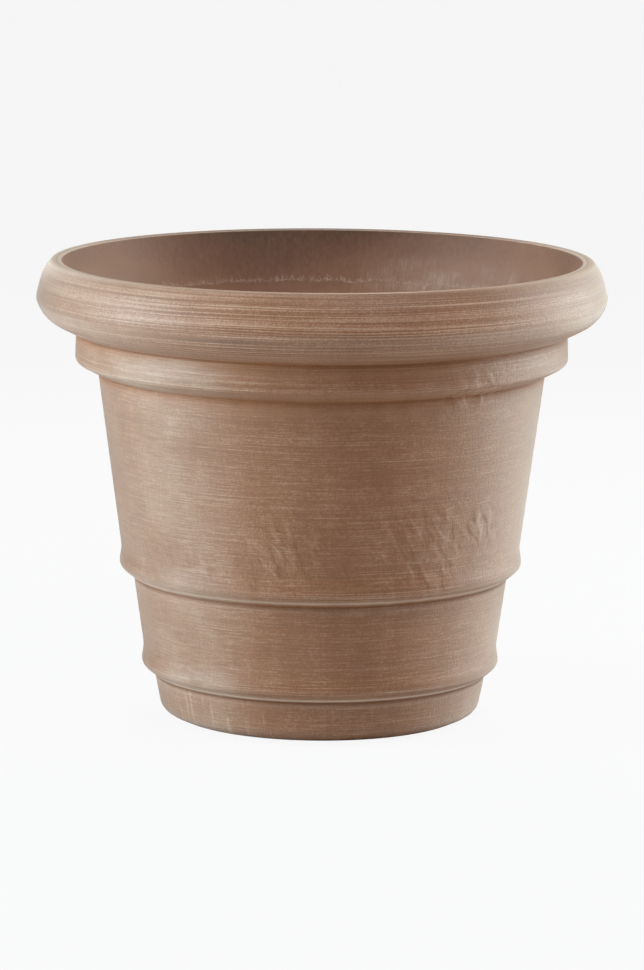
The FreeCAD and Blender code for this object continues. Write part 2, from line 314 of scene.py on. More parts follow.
def relief(angle, way, radius, height):
    """How far the outside stands proud: soft waves along the brush marks, and slanted lumps."""
    circle = Vector((math.cos(angle), math.sin(angle), 0))
    wave = noise.noise(circle * radius / WAVE_LENGTH + Vector((0, 0, way / WAVE_WIDTH)))
    turned = angle + way * WRINKLE_SLANT / radius
    slanted = Vector((math.cos(turned), math.sin(turned), 0))
    lump = noise.noise(slanted * radius / LUMP_WIDTH + Vector((0, 0, way / LUMP_LENGTH)))
    return wave * WAVE_HEIGHT + wrinkled(angle, height) * LUMP_HEIGHT * lump


def outline_normals(outline):
    """Which way the surface faces at each of an outline's points, outwards and upwards."""
    tangent = np.roll(outline.points, -1, axis=0) - np.roll(outline.points, 1, axis=0)
    tangent /= np.linalg.norm(tangent, axis=1)[:, None]
    return np.stack([tangent[:, 1], -tangent[:, 0]], axis=1)


def turned_places(outline, normals):
    """Where the points of the turned pot lie, ring after ring, with the relief of its outside."""
    places = np.empty((len(outline.points), AROUND, 3))
    for i, (radius, height) in enumerate(outline.points):
        lift = np.zeros(AROUND)
        if outline.zones[i] == OUTSIDE and RELIEF_FOOT < height < RELIEF_TOP:
            lift = np.array([relief(angle, outline.length[i], radius, height) for angle in ANGLES])
        out = radius + normals[i, 0] * lift
        up = height + normals[i, 1] * lift
        places[i] = np.stack([out * np.cos(ANGLES), out * np.sin(ANGLES), up], axis=1)
    return places


def turned_faces(count):
    """The faces between a number of rings, the last of which joins the first."""
    rings = np.arange(count * AROUND).reshape(count, AROUND)
    beside = np.roll(rings, -1, axis=1)
    above = np.roll(rings, -1, axis=0)
    diagonal = np.roll(above, -1, axis=1)
    return np.stack([rings, beside, diagonal, above], axis=-1).reshape(-1, 4)


def lay_map(mesh, outline):
    """A map of the turned surface: once round from left to right, and once along the outline upwards."""
    across, up = np.meshgrid(np.arange(AROUND + 1) / AROUND, outline.length / outline.length[-1])
    grid = np.stack([across, up], axis=-1)
    corners = np.stack([grid[:-1, :-1], grid[:-1, 1:], grid[1:, 1:], grid[1:, :-1]], axis=2)
    layer = mesh.uv_layers.new(name="OFBake")
    layer.data.foreach_set("uv", corners.ravel().astype(np.float32))


# How strongly the parts of the outside are brushed
WALL_GRAIN = 0.3
COLLAR_GRAIN = 0.5
RIM_GRAIN = 1.0

# Bands along the outline's marks: how far they spread, their strength, and how far beyond the marks they lie
Band = namedtuple("Band", "mark spread strength offset", defaults=(1.0, 0.0))
BEAD_GRAIN = Band("bead crease", 13, 0.65, 8)
# Dark bands in the creases at the beads, under the rim and at the lip: painted shade.
BEAD_CREASE_SHADE = Band("bead crease", 0.7, 0.6)
RIM_CREASE_SHADE = Band("rim crease", 0.9, 0.25)
LIP_CREASE_SHADE = Band("lip", 0.6, 0.4)
# Bands at the recesses under the rim and the beads: duller gloss there, and painted light that lifts their
# shade.
BEAD_RECESS = Band("bead crease", 1.2)
RIM_RECESS = Band("rim crease", 4)
# Just below the creases under the rim and the collar: painted light that lifts their shade.
RIM_SHADE_LIFT = Band("rim crease", 6, 1.0, -5)
# Pale bands on the beads above their creases: a painted highlight; and weaker ones just below the creases:
# painted light that lifts the shade there.
BEAD_HIGHLIGHT = Band("bead crease", 1.3, 1.0, (3.0, 5.9))
TIER_SHADE_LIFT = Band("bead crease", 1, 0.4, -1.8)
LIP_CREST = Band("lip", 1.3, 1.0, -3)


def along(outline, band):
    """A band's strength at each of an outline's points."""
    way = outline.length[:-1]
    places = np.array(outline.marks[band.mark]) + band.offset
    falls = [np.exp(-(((way - place) / band.spread) ** 2)) for place in places]
    return band.strength * np.max(falls, axis=0)


def rising(values, low, high):
    """0 up to the low value and 1 from the high one on, with an even rise between."""
    return np.clip((values - low) / (high - low), 0, 1)


def ring_values(outline, normals):
    """What the materials need to know about each ring of the pot, by name."""
    way = outline.length[:-1]
    collar_foot, collar_top = outline.marks["rim crease"]
    brushed = np.select([way > collar_top, way > collar_foot], [RIM_GRAIN, COLLAR_GRAIN], WALL_GRAIN)
    up = normals[:, 1]
    below = rising(-up, 0.4, 0.8)
    return {
        "along": way * MM,
        "grain": np.maximum(brushed, along(outline, BEAD_GRAIN)),
        # Painted shade in the creases.
        "crease": sum(along(outline, line) for line in (BEAD_CREASE_SHADE, RIM_CREASE_SHADE, LIP_CREASE_SHADE)),
        # Duller gloss in the recesses, and painted light that lifts their shade.
        "recess": np.maximum(along(outline, RIM_RECESS), along(outline, BEAD_RECESS)),
        # Painted light that lifts the shade below the rim and the collar.
        "shade_lift": along(outline, RIM_SHADE_LIFT),
        # Painted highlight on the beads, and painted light just below their creases.
        "pale_band": np.maximum(along(outline, BEAD_HIGHLIGHT), along(outline, TIER_SHADE_LIFT)),
        # Faces that look down, which painted shade darkens and whose gloss is lowered.
        "under": below,
        # Upward faces, which get a painted sheen and duller gloss.
        "flat": rising(up, 0.6, 0.9),
        "lip": along(outline, LIP_CREST),
        "upright": (1 - rising(up, 0.65, 0.95)) * (1 - 0.8 * below),
    }


def keep_values(mesh, name, values):
    """Keeps a number for each of a mesh's points, for its materials."""
    kept = mesh.attributes.new(name, "FLOAT", "POINT")
    kept.data.foreach_set("value", np.asarray(values, np.float32).ravel())


def turn_pot(outline):
    """The pot's mesh: its outline turned about the axis, with a map and values for its materials."""
    normals = outline_normals(outline)
    faces = turned_faces(len(outline.points))
    mesh = bpy.data.meshes.new("pot")
    mesh.from_pydata(turned_places(outline, normals).reshape(-1, 3) * MM, [], faces.tolist())
    mesh.polygons.foreach_set("material_index", np.repeat(outline.zones, AROUND).astype(np.int32))
    mesh.polygons.foreach_set("use_smooth", np.ones(len(faces), bool))
    lay_map(mesh, outline)
    for name, values in ring_values(outline, normals).items():
        keep_values(mesh, name, np.repeat(values, AROUND))
    keep_values(mesh, "wrinkled", [
        [wrinkled(angle, height) * (zone == OUTSIDE) for angle in ANGLES]
        for (_, height), zone in zip(outline.points, outline.zones)
    ])
    return mesh


class Nodes:
    """A node tree, with short names for the nodes that the materials are made of."""

    def __init__(self, tree):
        self.tree = tree

    def feed(self, node, key, value):
        """Links a value to an input of a node, or sets it there."""
        if isinstance(value, bpy.types.NodeSocket):
            self.tree.links.new(value, node.inputs[key])
        else:
            node.inputs[key].default_value = value

    def add(self, kind, inputs, **settings):
        """A new node of a kind, with its inputs and settings."""
        made = self.tree.nodes.new(kind)
        for name, value in settings.items():
            setattr(made, name, value)
        for key, value in inputs.items():
            self.feed(made, key, value)
        return made

    def calc(self, operation, first, second=0.0, third=0.0):
        inputs = {0: first, 1: second, 2: third}
        return self.add("ShaderNodeMath", inputs, operation=operation).outputs[0]

    def product(self, first, *others):
        for other in others:
            first = self.calc("MULTIPLY", first, other)
        return first

    def plus(self, value, more, strength):
        """A value with so much of another added."""
        return self.calc("MULTIPLY_ADD", more, strength, value)

    def varied(self, value, pattern, strength):
        """A value that a pattern about 0.5 raises and lowers."""
        return self.plus(value, self.calc("SUBTRACT", pattern, 0.5), strength)

    def remap(self, value, low, high, to_low=0.0, to_high=1.0):
        inputs = {"Value": value, "From Min": low, "From Max": high, "To Min": to_low, "To Max": to_high}
        return self.add("ShaderNodeMapRange", inputs, clamp=True).outputs["Result"]

    def mix(self, share, first, second):
        """A colour with a share of a second one over it."""
        return self.add("ShaderNodeMix", {0: share, 6: first, 7: second}, data_type="RGBA").outputs[2]

    def vector(self, operation, first, second=(0, 0, 0), third=(0, 0, 0)):
        inputs = {0: first, 1: second, 2: third}
        return self.add("ShaderNodeVectorMath", inputs, operation=operation).outputs

    def attribute(self, name):
        return self.add("ShaderNodeAttribute", {}, attribute_name=name).outputs["Fac"]

    def place(self):
        """Where a point lies on its piece."""
        return self.add("ShaderNodeTexCoord", {}).outputs["Object"]

    def noise(self, place, scale, detail, roughness=0.5):
        inputs = {"Vector": place, "Scale": scale, "Detail": detail, "Roughness": roughness}
        return self.add("ShaderNodeTexNoise", inputs).outputs["Fac"]

    def bump(self, height, strength, distance):
        inputs = {"Height": height, "Strength": strength, "Distance": distance}
        return self.add("ShaderNodeBump", inputs).outputs["Normal"]


def new_material(name):
    """A new material, its nodes and its shader."""
    material = bpy.data.materials.new(name)
    material.use_nodes = True
    return material, Nodes(material.node_tree), material.node_tree.nodes["Principled BSDF"]


def linear(part):
    """A part of a screen's colour, from 0 to 1, as linear light."""
    return part / 12.92 if part <= 0.04045 else ((part + 0.055) / 1.055) ** 2.4


def colour(red, green, blue):
    """A colour as seen on a screen, from 0 to 255, as linear light."""
    return (linear(red / 255), linear(green / 255), linear(blue / 255), 1.0)


# Noise patterns: how long their grains are round the pot, and how wide along its outline
Grain = namedtuple("Grain", "length width detail roughness", defaults=(2.0, 0.5))
PATTERN_RADIUS = 170
BRUSH_DRIFT = 2
DRIFT_GRAIN = Grain(90, 50)
HOLLOW_GRAIN = Grain(11, 14, 1.0)
BRUSHED_GRAINS = {
    "broad": Grain(160, 4.5),
    "streak": Grain(200, 0.8, 1.5, 0.6),
    "stroke": Grain(20, 0.7, 2.0, 0.6),
    "hair": Grain(200, 1.2, 0.0),
    "thread": Grain(2.8, 0.8, 1.0),
    "pit": Grain(3.5, 1.0, 1.0),
}
STILL_GRAINS = {
    "patch": Grain(60, 12),
    "sand": Grain(1.2, 1.2, 1.0),
    "linen": Grain(1.1, 4, 1.0),
    "blotch": Grain(45, 35, 4.0),
    "chalk": Grain(16, 60, 3.0),
    "drip": Grain(5, 35, 3.0),
}
INSIDE_GRAINS = {
    "blotch": Grain(50, 30, 4.0),
    "speckle": Grain(2.5, 4, 2.0),
    "runs": Grain(1.8, 14, 3.0),
    "cloud": Grain(22, 12, 3.0),
    "grit": Grain(1.1, 1.3, 1.0),
    "spikes": Grain(2.6, 1000, 3.0),
    "sway": Grain(30, 1000, 2.0),
}


def pot_spot(nodes):
    """Where a point lies on the pot: which way from the axis, how high, and how far along the outline."""
    place = nodes.place()
    direction = nodes.vector("NORMALIZE", nodes.vector("MULTIPLY", place, (1, 1, 0))[0])[0]
    across, behind, _ = nodes.add("ShaderNodeSeparateXYZ", {0: direction}).outputs
    return SimpleNamespace(
        direction=direction,
        across=across,
        aside=nodes.calc("ABSOLUTE", across),
        behind=behind,
        height=nodes.add("ShaderNodeSeparateXYZ", {0: place}).outputs["Z"],
        way=nodes.attribute("along"),
    )


def facing(nodes, spot, side):
    """How far a point of the pot lies on a side, from -1 to 1."""
    return nodes.vector("DOT_PRODUCT", spot.direction, side)["Value"]


def flecks(nodes, direction, way, grain):
    """Noise with grains of a length round the pot and a width along its outline."""
    level = nodes.add("ShaderNodeCombineXYZ", {"Z": nodes.calc("DIVIDE", way, grain.width * MM)}).outputs[0]
    place = nodes.vector("MULTIPLY_ADD", direction, (PATTERN_RADIUS / grain.length,) * 3, level)[0]
    return nodes.noise(place, 1.0, grain.detail, grain.roughness)


def patterns(nodes, direction, way, grains):
    """Noise patterns by name."""
    return {name: flecks(nodes, direction, way, grain) for name, grain in grains.items()}


# Brushed outside: its colours, some of which are painted light and shade, and the direction from the axis of
# its painted highlight and its drips

DEEP_BROWN = colour(102, 62, 34)
BROWN = colour(138, 84, 41)
PALE_BROWN = colour(180, 142, 114)
# A lighter brown below the rim and the collar: painted light that lifts their shade.
SHADE_LIFT_BROWN = colour(162, 108, 70)
# Grey and beige on the upward faces of the lip: painted sheen.
LIP_SHEEN_GREY = colour(150, 130, 115)
LIP_SHEEN_BEIGE = colour(192, 176, 160)
# Darker at the back of the lip's upward faces.
LIP_DARK_BACK = colour(84, 62, 50)
LIP_WORN = colour(200, 168, 142)
# A painted highlight on the left side, where the left lamp is reflected.
LEFT_HIGHLIGHT_BEIGE = colour(190, 172, 150)
# Painted highlight on the beads, and painted light just below their creases.
BEAD_LIGHT_BEIGE = colour(214, 188, 166)
# Painted light that lifts the shade in the recesses.
RECESS_FILL_BROWN = colour(150, 88, 48)
# Painted shade in the creases.
CREASE_SHADE_BROWN = colour(84, 42, 20)
OUTSIDE_BLOOM = colour(255, 248, 238)
HIGHLIGHT_AND_DRIP_SIDE = (-0.71, -0.71, 0)

# Ranges of the brushing's strength over which a look changes
WALL_TO_COLLAR = (WALL_GRAIN, COLLAR_GRAIN)
WALL_TO_RIM = (WALL_GRAIN, RIM_GRAIN)
COLLAR_TO_RIM = (0.6, RIM_GRAIN)

# How much the marks of the outside, the painted shade below it and the painted highlights round its dents
# darken or lighten it, and how deep the marks are
BRUSHED_LIFT = 0.07
DARK_HAIR = -0.18
PIT = -0.35
LINEN = 0.45
BLOTCH = 0.2
CHALK = 0.15
UNDERSIDE_SHADE = -0.03
DENT_HIGHLIGHT = 0.13
STREAK_DEPTH = 0.12
DENT_DEPTH = 5.0
BUMP_DEPTH = 0.4


def outside_patterns(nodes, spot):
    """The outside's patterns by name: brushed ones, ones that stay in place, and slanted hollows."""
    drift = flecks(nodes, spot.direction, spot.way, DRIFT_GRAIN)
    drifted = nodes.varied(spot.way, drift, BRUSH_DRIFT * MM)
    slant = nodes.calc("MULTIPLY", spot.way, WRINKLE_SLANT / (PATTERN_RADIUS * MM))
    turn = {"Vector": spot.direction, "Angle": slant}
    turned = nodes.add("ShaderNodeVectorRotate", turn, rotation_type="Z_AXIS").outputs[0]
    return SimpleNamespace(
        **patterns(nodes, spot.direction, drifted, BRUSHED_GRAINS),
        **patterns(nodes, spot.direction, spot.way, STILL_GRAINS),
        hollow=flecks(nodes, turned, spot.way, HOLLOW_GRAIN),
        grain=nodes.attribute("grain"),
    )


def streaked_tone(nodes, spot, pattern):
    """How light the brush has left the outside, about 0: broad and fine streaks, firmest at the front."""
    patchy = nodes.remap(pattern.patch, 0.35, 0.65, 0.7, 1.2)
    firm = nodes.remap(spot.aside, 0.3, 0.85, 1.8, 0.75)
    tone = nodes.product(nodes.calc("SUBTRACT", pattern.streak, 0.5), patchy, firm)
    tone = nodes.plus(tone, pattern.grain, BRUSHED_LIFT)
    tone = nodes.varied(tone, pattern.broad, nodes.remap(pattern.grain, *COLLAR_TO_RIM, 0.08, 0.16))
    return nodes.product(tone, pattern.grain)


def scratched_tone(nodes, spot, pattern, tone):
    """A tone with dark and pale hairlines, sand, pits at the sides, short strokes and a weave of threads."""
    grain = pattern.grain
    dark_hair = nodes.remap(pattern.hair, 0.22, 0.34, 1.0, 0.0)
    tone = nodes.plus(tone, nodes.product(dark_hair, nodes.remap(grain, *WALL_TO_RIM, 0.45, 1.0)), DARK_HAIR)
    tone = nodes.varied(tone, pattern.sand, nodes.remap(grain, *COLLAR_TO_RIM, 0.3, 0.5))
    pale_hair = nodes.remap(pattern.hair, 0.67, 0.74)
    pale_hair = nodes.product(pale_hair, nodes.remap(grain, *WALL_TO_COLLAR, 0.05, 0.2))
    tone = nodes.plus(tone, pale_hair, nodes.remap(grain, *COLLAR_TO_RIM, 1.0, 0.5))
    pitted = nodes.product(nodes.remap(pattern.pit, 0.64, 0.72), nodes.remap(spot.aside, 0.5, 0.85))
    tone = nodes.plus(tone, pitted, PIT)
    tone = nodes.varied(tone, pattern.stroke, nodes.remap(grain, *WALL_TO_RIM, 0.52, 0.15))
    weave = nodes.varied(nodes.calc("SUBTRACT", pattern.thread, 0.5), pattern.linen, LINEN)
    return nodes.plus(tone, weave, nodes.remap(grain, 0.4, 1.0, 0.36, 0.18))


def stains_and_painted_light(nodes, spot, pattern, tone):
    """A tone with blotches, chalky runs and drips down the wall, painted shade on the faces that look down,
    and painted highlights on the edges of dents.
    """
    tone = nodes.varied(nodes.varied(tone, pattern.blotch, BLOTCH), pattern.chalk, CHALK)
    dripped = nodes.product(
        nodes.remap(pattern.drip, 0.55, 0.72),
        nodes.remap(pattern.grain, 0.4, 0.6, 1.0, 0.0),
        nodes.remap(facing(nodes, spot, HIGHLIGHT_AND_DRIP_SIDE), 0.85, 0.97, 0.3, 1.0),
    )
    bead = LOWER_BEAD_HEIGHT * MM
    tone = nodes.plus(tone, dripped, nodes.remap(spot.height, 0.8 * bead, bead, 0.25, 0.07))
    # Darker on the faces that look down: painted shade.
    tone = nodes.plus(tone, nodes.attribute("under"), UNDERSIDE_SHADE)
    # Pale rims round the dents: painted highlights.
    edge = nodes.product(
        nodes.remap(pattern.hollow, 0.5, 0.56),
        nodes.remap(pattern.hollow, 0.56, 0.64, 1.0, 0.0),
        nodes.remap(pattern.chalk, 0.4, 0.6),
        nodes.attribute("wrinkled"),
    )
    return nodes.plus(tone, edge, DENT_HIGHLIGHT)


def brown_of(nodes, tone):
    """The brown for a tone about 0."""
    ramp = nodes.add("ShaderNodeValToRGB", {"Fac": nodes.calc("ADD", tone, 0.5)})
    dark, light = ramp.color_ramp.elements
    dark.position = 0.1
    dark.color = DEEP_BROWN
    light.position = 0.9
    light.color = PALE_BROWN
    ramp.color_ramp.elements.new(0.5).color = BROWN
    return ramp.outputs["Color"]


def lip_layers(nodes, spot, pattern):
    """Layers of colour on the lip: a grey on its upward faces and a paler beige on them at the sides, which
    are painted sheen; darker at the back; and rubbed paler along its crest.
    """
    flat = nodes.attribute("flat")
    sides = nodes.remap(spot.aside, 0.55, 0.95, 0.0, 0.7)
    darker_behind = nodes.remap(spot.behind, 0.4, 0.95, 0.0, 0.6)
    pale_band = nodes.remap(pattern.stroke, 0.35, 0.65, 0.25, 0.6)
    return [
        # A grey on the upward faces, and a paler beige on them at the sides: painted sheen.
        (nodes.product(flat, 0.3), LIP_SHEEN_GREY),
        (nodes.product(flat, sides), LIP_SHEEN_BEIGE),
        # Darker towards the back of the upward faces.
        (nodes.product(flat, darker_behind), LIP_DARK_BACK),
        (nodes.product(nodes.attribute("lip"), pale_band), LIP_WORN),
    ]


def painted_light_layers(nodes, spot, pattern):
    """Layers of painted light and shade on the whole outside: a highlight on the left side, highlights on the
    beads and light just below them, lighter recesses and darker creases.
    """
    # A pale beige on the left side: a painted highlight where the left lamp is reflected.
    painted_highlight = nodes.product(
        nodes.remap(facing(nodes, spot, HIGHLIGHT_AND_DRIP_SIDE), 0.9, 1.0),
        nodes.remap(pattern.blotch, 0.3, 0.7, 0.1, 0.3),
        nodes.remap(pattern.stroke, 0.3, 0.6, 0.5, 1.0),
        nodes.remap(pattern.grain, 0.35, 0.5, 1.0, 1.6),
        nodes.remap(pattern.grain, 0.6, 0.9, 1.0, 0.25),
    )
    # Painted highlight on the beads, and painted light just below their creases.
    pale_band = nodes.product(nodes.attribute("pale_band"), nodes.remap(pattern.stroke, 0.3, 0.6, 0.6, 0.9))
    return [
        (painted_highlight, LEFT_HIGHLIGHT_BEIGE),
        (pale_band, BEAD_LIGHT_BEIGE),
        # Painted light that lifts the shade in the recesses.
        (nodes.product(nodes.attribute("recess"), 0.25), RECESS_FILL_BROWN),
        # Painted shade in the creases.
        (nodes.product(nodes.attribute("crease"), 0.85), CREASE_SHADE_BROWN),
    ]


def outside_colour(nodes, spot, pattern):
    """The outside's colour: the brown of its tone, with layers over it of painted light below the rim, of the
    lip's colours, and of painted highlights, light and shade.
    """
    tone = streaked_tone(nodes, spot, pattern)
    tone = scratched_tone(nodes, spot, pattern, tone)
    tone = stains_and_painted_light(nodes, spot, pattern, tone)
    # A lighter, warmer brown below the rim and the collar, fading at the sides: painted light that lifts
    # their shade.
    lifted_shade = nodes.product(
        nodes.attribute("shade_lift"),
        nodes.remap(pattern.chalk, 0.35, 0.65, 0.4, 0.8),
        nodes.remap(spot.aside, 0.3, 0.8, 1.0, 0.0),
    )
    layers = [(lifted_shade, SHADE_LIFT_BROWN)]
    layers += lip_layers(nodes, spot, pattern)
    layers += painted_light_layers(nodes, spot, pattern)
    finish = brown_of(nodes, tone)
    for share, tint in layers:
        finish = nodes.mix(share, finish, tint)
    return finish


def shine_outside(nodes, shader, pattern):
    """Makes the outside duller on top, below and in recesses, with a pale bloom on its upright faces."""
    open_air = nodes.remap(nodes.attribute("recess"), 0.0, 1.0, 1.0, 0.3)
    on_top = nodes.remap(nodes.attribute("flat"), 0.0, 1.0, 0.6, 0.1)
    below = nodes.remap(nodes.attribute("under"), 0.0, 1.0, 1.0, 0.5)
    brushed = nodes.remap(pattern.grain, *COLLAR_TO_RIM, 0.75, 1.0)
    bloom = nodes.product(nodes.attribute("upright"), brushed, open_air)
    nodes.feed(shader, "Roughness", nodes.remap(pattern.streak, 0.3, 0.7, 0.62, 0.56))
    nodes.feed(shader, "Specular IOR Level", nodes.product(on_top, open_air, below))
    nodes.feed(shader, "Coat Weight", 0.1)
    nodes.feed(shader, "Coat Roughness", 0.5)
    nodes.feed(shader, "Sheen Weight", bloom)
    nodes.feed(shader, "Sheen Roughness", 0.5)
    nodes.feed(shader, "Sheen Tint", OUTSIDE_BLOOM)


def outside_bump(nodes, pattern):
    """The fine relief of the outside: its threads and streaks, and the hollows of its dents."""
    dent = nodes.product(nodes.remap(pattern.hollow, 0.42, 0.62), nodes.attribute("wrinkled"))
    height = nodes.calc("ADD", pattern.thread, pattern.linen)
    height = nodes.plus(height, nodes.product(pattern.streak, pattern.grain), STREAK_DEPTH)
    height = nodes.plus(height, dent, DENT_DEPTH)
    return nodes.bump(height, 0.35, BUMP_DEPTH * MM)


def brushed_outside():
    """A brown composite that is brushed along its turning, with stains, and with painted highlights, light
    and shade over it.
    """
    material, nodes, shader = new_material("brushed_outside")
    spot = pot_spot(nodes)
    pattern = outside_patterns(nodes, spot)
    nodes.feed(shader, "Base Color", outside_colour(nodes, spot, pattern))
    shine_outside(nodes, shader, pattern)
    nodes.feed(shader, "Normal", outside_bump(nodes, pattern))
    return material


# Moulded inside: its colours, and the depths of its marks below the lip

INSIDE_DARK = colour(84, 50, 32)
INSIDE_BROWN = colour(148, 106, 81)
INSIDE_DUST = colour(166, 138, 121)
INSIDE_PALE = colour(196, 172, 152)
INSIDE_BLOOM = colour(255, 222, 200)
TIDE_DEPTH = 37
TIDE_SWAY = 8
TIDE_HEIGHT = 6.5
TIDE_SOFT_FOOT = 0.8
TIDE_SOFT_TOP = 0.4
SCUFF_SIDE = (0.67, 0.74, 0)
SCUFF_TOP = 18
SCUFF_FOOT = 46
DUST_TOP = 12
DUST_FULL = 30


def tide_line(nodes, pattern, depth):
    """A jagged pale line round the inside, with spikes that fade upwards."""
    rise = nodes.calc("SUBTRACT", nodes.varied(TIDE_DEPTH * MM, pattern.sway, TIDE_SWAY * MM), depth)
    spike = nodes.remap(pattern.spikes, 0.35, 0.7, 0.15 * TIDE_HEIGHT * MM, TIDE_HEIGHT * MM)
    return nodes.product(
        nodes.remap(rise, -TIDE_SOFT_FOOT * MM, TIDE_SOFT_TOP * MM),
        nodes.remap(nodes.calc("DIVIDE", rise, spike), 0.2, 1.0, 1.0, 0.0),
        nodes.remap(pattern.speckle, 0.35, 0.6, 0.3, 1.0),
        nodes.remap(pattern.grit, 0.38, 0.62, 0.1, 1.5),
    )


def scuffs(nodes, spot, pattern, depth):
    """Pale scuffs on one side of the inside."""
    return nodes.product(
        nodes.remap(facing(nodes, spot, SCUFF_SIDE), 0.8, 0.93),
        nodes.remap(pattern.runs, 0.36, 0.66),
        nodes.remap(pattern.cloud, 0.36, 0.6),
        nodes.remap(depth, SCUFF_TOP * MM, 1.6 * SCUFF_TOP * MM),
        nodes.remap(depth, 0.85 * SCUFF_FOOT * MM, SCUFF_FOOT * MM, 1.0, 0.0),
    )


def inside_brown(nodes, spot, pattern, depth):
    """The brown of the inside, which is darkest at the back below the lip, with painted light on its left and
    right sides.
    """
    # Lighter towards the left and right sides: painted light, where the side lamps light the inner wall.
    right = nodes.remap(spot.across, 0.25, 0.9, 0.0, 0.8)
    left = nodes.remap(spot.across, -0.9, -0.38, 0.8, 0.0)
    sides = nodes.product(nodes.calc("ADD", right, left), nodes.remap(spot.aside, 0.8, 1.0, 1.0, 0.4))
    tone = nodes.calc("ADD", nodes.remap(depth, 0.0, SCUFF_FOOT * MM), sides)
    tone = nodes.varied(nodes.varied(tone, pattern.blotch, 0.7), pattern.speckle, 0.45)
    return nodes.mix(tone, INSIDE_DARK, INSIDE_BROWN)


def inside_dust(nodes, spot, depth):
    """Grey dust on the right and at the left end of the inside, thinner below the lip."""
    right = nodes.remap(spot.across, 0.15, 0.5, 0.0, 0.36)
    right = nodes.product(right, nodes.remap(spot.across, 0.75, 0.95, 1.0, 0.3))
    left = nodes.remap(spot.across, -0.95, -0.6, 0.6, 0.0)
    thin = nodes.remap(depth, DUST_TOP * MM, DUST_FULL * MM, 0.35, 1.0)
    return nodes.product(nodes.calc("ADD", right, left), thin)


def moulded_inside():
    """The same composite as it left the mould: smooth, with a jagged pale line, dust and scuffs."""
    material, nodes, shader = new_material("moulded_inside")
    spot = pot_spot(nodes)
    pattern = SimpleNamespace(**patterns(nodes, spot.direction, spot.way, INSIDE_GRAINS))
    depth = nodes.calc("SUBTRACT", TOTAL_HEIGHT * MM, spot.height)
    tide = nodes.product(tide_line(nodes, pattern, depth), 0.45)
    scuffed = nodes.product(scuffs(nodes, spot, pattern, depth), 0.5)
    base = inside_brown(nodes, spot, pattern, depth)
    base = nodes.mix(inside_dust(nodes, spot, depth), base, INSIDE_DUST)
    base = nodes.mix(nodes.calc("MAXIMUM", tide, scuffed), base, INSIDE_PALE)
    nodes.feed(shader, "Base Color", base)
    nodes.feed(shader, "Roughness", nodes.remap(pattern.blotch, 0.3, 0.7, 0.6, 0.7))
    nodes.feed(shader, "Specular IOR Level", 0.3)
    nodes.feed(shader, "Sheen Weight", nodes.remap(spot.aside, 0.8, 1.0, 0.8, 0.25))
    nodes.feed(shader, "Sheen Roughness", 0.5)
    nodes.feed(shader, "Sheen Tint", INSIDE_BLOOM)
    nodes.feed(shader, "Normal", nodes.bump(pattern.speckle, 0.15, 0.3 * MM))
    return material


# Rubber: its colours, and how fine its skin and its dust are, in grains to the metre
PLUG_BLACK = colour(48, 46, 45)
PAD_BLACK = colour(56, 52, 48)
SKIN_SCALE = 900.0
DUST_SCALE = 120.0


def rubber(name, tint):
    """Matt moulded rubber with a fine skin and a little dust."""
    material, nodes, shader = new_material(name)
    place = nodes.place()
    skin = nodes.noise(place, SKIN_SCALE, 3.0)
    dust = nodes.noise(place, DUST_SCALE, 4.0)
    dusty = (*[min(1.0, part * 1.6 + 0.01) for part in tint[:3]], 1.0)
    nodes.feed(shader, "Base Color", nodes.mix(nodes.remap(dust, 0.4, 0.75), tint, dusty))
    nodes.feed(shader, "Roughness", nodes.remap(dust, 0.3, 0.7, 0.6, 0.75))
    nodes.feed(shader, "Normal", nodes.bump(skin, 0.2, 0.2 * MM))
    return material


# Pieces

PAD_CLEARANCE = 0.3
PAD_SIDES = 64


def link(piece):
    bpy.context.scene.collection.objects.link(piece)


def pad_cutter(material):
    """Round cutters in the places of the pads, a little wider than they are."""
    shape = bmesh.new()
    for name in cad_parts:
        if name.startswith("foot_pad"):
            low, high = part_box(name)
            radius = (high.x - low.x) / 2 + PAD_CLEARANCE * MM
            place = Matrix.Translation((low + high) / 2)
            bmesh.ops.create_cone(shape, cap_ends=True, segments=PAD_SIDES, radius1=radius, radius2=radius,
                                  depth=high.z - low.z, matrix=place)
    mesh = bpy.data.meshes.new("pad_cutter")
    shape.to_mesh(mesh)
    shape.free()
    mesh.materials.append(material)
    return bpy.data.objects.new("pad_cutter", mesh)


def cut_sockets(body):
    """Cuts the sockets of the pads into the underside of the pot."""
    cutter = pad_cutter(body.data.materials[INSIDE])
    link(cutter)
    cut = body.modifiers.new("sockets", "BOOLEAN")
    cut.operation = "DIFFERENCE"
    cut.solver = "MANIFOLD"
    cut.object = cutter
    whole = body.evaluated_get(bpy.context.evaluated_depsgraph_get())
    body.data = bpy.data.meshes.new_from_object(whole)
    body.modifiers.clear()
    bpy.data.objects.remove(cutter)


pot_mesh = turn_pot(trace(OUTSIDE_CORNERS, INSIDE_CORNERS))
pot_mesh.materials.append(brushed_outside())
pot_mesh.materials.append(moulded_inside())
pot = bpy.data.objects.new("pot", pot_mesh)
link(pot)
cut_sockets(pot)
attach(pot, "pot")
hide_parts("pot_body")

plug_rubber = rubber("plug_rubber", PLUG_BLACK)
pad_rubber = rubber("pad_rubber", PAD_BLACK)
for name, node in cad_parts.items():
    if name != "pot_body":
        node.data.materials.clear()
        node.data.materials.append(plug_rubber if name == "drain_plug" else pad_rubber)

# Stage: a pale floor and a pale backdrop, which the camera sees as one

BACKDROP = 0.965
STAGE_SIZE = 30
STAGE_GLOW = 0.95
STAGE_TONE = 0.75


